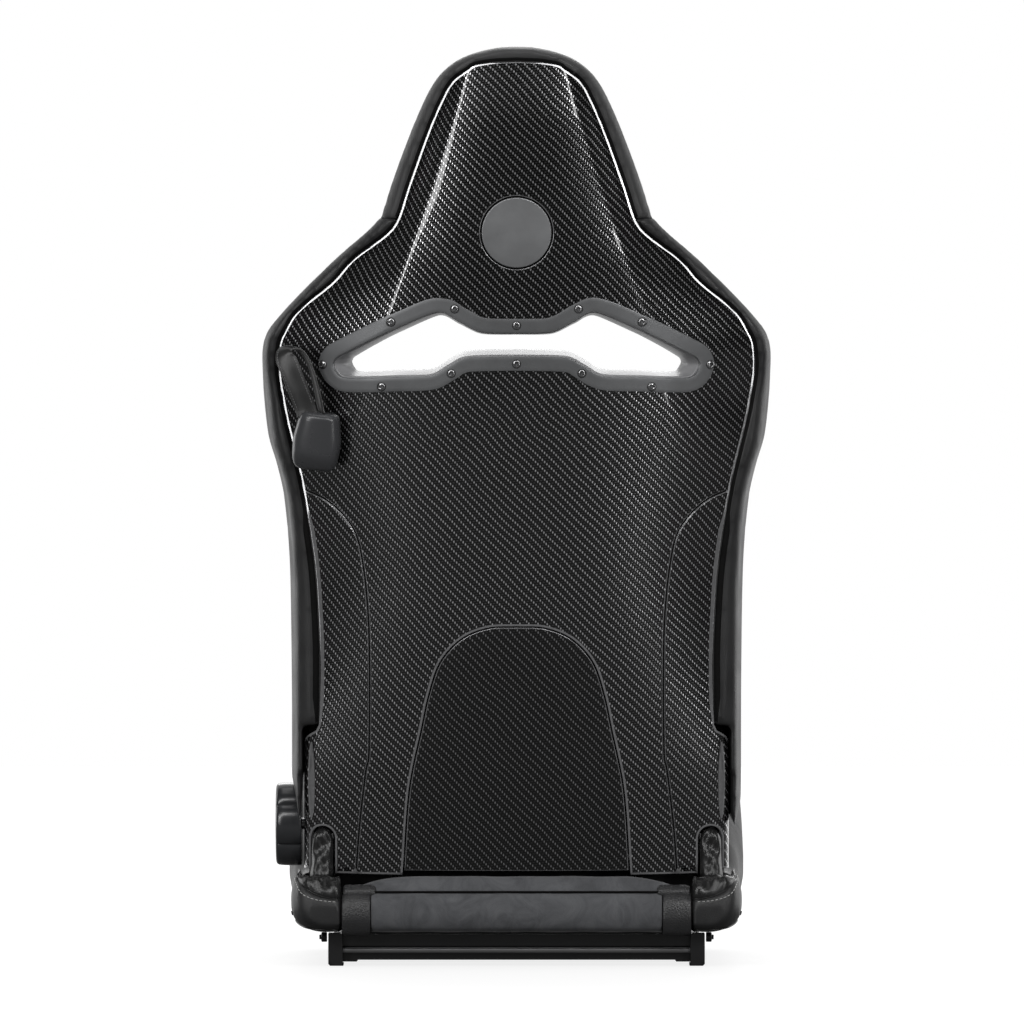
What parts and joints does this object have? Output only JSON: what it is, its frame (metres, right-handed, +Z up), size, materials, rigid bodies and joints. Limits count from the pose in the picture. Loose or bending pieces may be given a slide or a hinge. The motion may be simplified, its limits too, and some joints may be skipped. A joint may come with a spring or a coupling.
{
  "type": "racing seat",
  "caption": "Reclining sports seat with a carbon back shell, shoulder slot, side bolsters, recline knob, tilt strap and slide rails.",
  "frame": {"origin": "on the floor under the middle of the seat's bounding box, on its plane of symmetry", "axes": "+X to the seat's right, +Y to its front, +Z up"},
  "size_m": [0.54, 0.6616, 0.9733],
  "materials": {
    "carbon_fibre": "2x2 twill carbon fibre under gloss clear coat",
    "black_leather": "smooth black leather",
    "dark_suede": "dark grey suede",
    "satin_plate": "satin dark grey",
    "black_plastic": "fine-grained satin black plastic",
    "liner_plastic": "smooth grey moulded plastic",
    "black_steel": "semi-gloss black paint",
    "bright_steel": "zinc-plated steel",
    "screw_steel": "dark plated steel"
  },
  "bodies": {
    "floor_rails": {"lower_rail_right": "black_steel", "lower_rail_left": "black_steel", "rail_foot_rear_right": "black_steel", "rail_foot_rear_left": "black_steel", "rail_foot_front_right": "black_steel", "rail_foot_front_left": "black_steel", "rear_tie_bar": "black_steel", "front_tie_bar": "black_steel"},
    "seat_base": {"upper_rail_right": "bright_steel", "upper_rail_left": "bright_steel", "seat_pan": "black_steel", "seat_bracket_right": "black_steel", "seat_bracket_left": "black_steel", "cushion_insert": "dark_suede", "cushion_bolster_right": "black_leather", "cushion_bolster_left": "black_leather", "cushion_front_roll": "black_leather", "cushion_rear_roll": "dark_suede", "gaiter_right": "black_leather", "gaiter_left": "black_leather", "recliner_disc_right": "bright_steel", "recliner_disc_left": "bright_steel", "recliner_cover_right": "black_plastic", "recliner_cover_left": "black_plastic"},
    "rail_release": {"release_bar": "black_steel", "latch_plate_right": "bright_steel", "latch_plate_left": "bright_steel"},
    "recliner_arms": {"recliner_arm_right": "black_steel", "recliner_arm_left": "black_steel", "pivot_bush_right": "bright_steel", "pivot_bush_left": "bright_steel"},
    "knob_shaft": {"recline_knob": "black_plastic", "sync_shaft": "bright_steel"},
    "backrest": {"hinge_plate_right": "black_steel", "hinge_plate_left": "black_steel", "back_shell": "carbon_fibre", "lumbar_panel": "carbon_fibre", "slot_surround": "satin_plate", "slot_liner": "liner_plastic", "badge_disc": "satin_plate", "head_pad": "black_leather", "back_bolster_right": "black_leather", "back_bolster_left": "black_leather", "back_insert": "dark_suede", "shoulder_pad": "dark_suede", "surround_screw_1": "screw_steel", "surround_screw_2": "screw_steel", "surround_screw_3": "screw_steel", "surround_screw_4": "screw_steel", "surround_screw_5": "screw_steel", "surround_screw_6": "screw_steel", "surround_screw_7": "screw_steel", "surround_screw_8": "screw_steel", "surround_screw_9": "screw_steel", "surround_screw_10": "screw_steel", "surround_screw_11": "screw_steel", "surround_screw_12": "screw_steel"},
    "tilt_strap": {"pull_strap": "black_leather", "pull_grip": "black_plastic"}
  },
  "joints": [
    {"name": "seat_slide", "type": "slide", "parent": "floor_rails", "child": "seat_base", "axis": [0, 1, 0], "range_m": [-0.1, 0.1]},
    {"name": "rail_release_lift", "type": "hinge", "parent": "seat_base", "child": "rail_release", "pos_m": [0, 0.06, 0.024], "axis": [1, 0, 0], "range_deg": [0, 5], "stiffness_Nm_per_rad": 4, "springref_deg": -20.05},
    {"name": "recline", "type": "hinge", "parent": "seat_base", "child": "recliner_arms", "pos_m": [0, -0.146, 0.149], "axis": [1, 0, 0], "range_deg": [-8, 35]},
    {"name": "recline_knob_turn", "type": "hinge", "parent": "seat_base", "child": "knob_shaft", "pos_m": [0, -0.146, 0.149], "axis": [1, 0, 0], "range_deg": [-144, 630]},
    {"name": "back_tilt", "type": "hinge", "parent": "recliner_arms", "child": "backrest", "pos_m": [0, -0.146, 0.149], "axis": [-1, 0, 0], "range_deg": [0, 35]},
    {"name": "strap_pull", "type": "slide", "parent": "backrest", "child": "tilt_strap", "axis": [0, 0.1736, -0.9848], "range_m": [0, 0.02], "stiffness_N_per_m": 300, "springref_m": -0.02}
  ],
  "couplings": [
    {"joint": "recline_knob_turn", "follows": "recline", "ratio": 18}
  ]
}
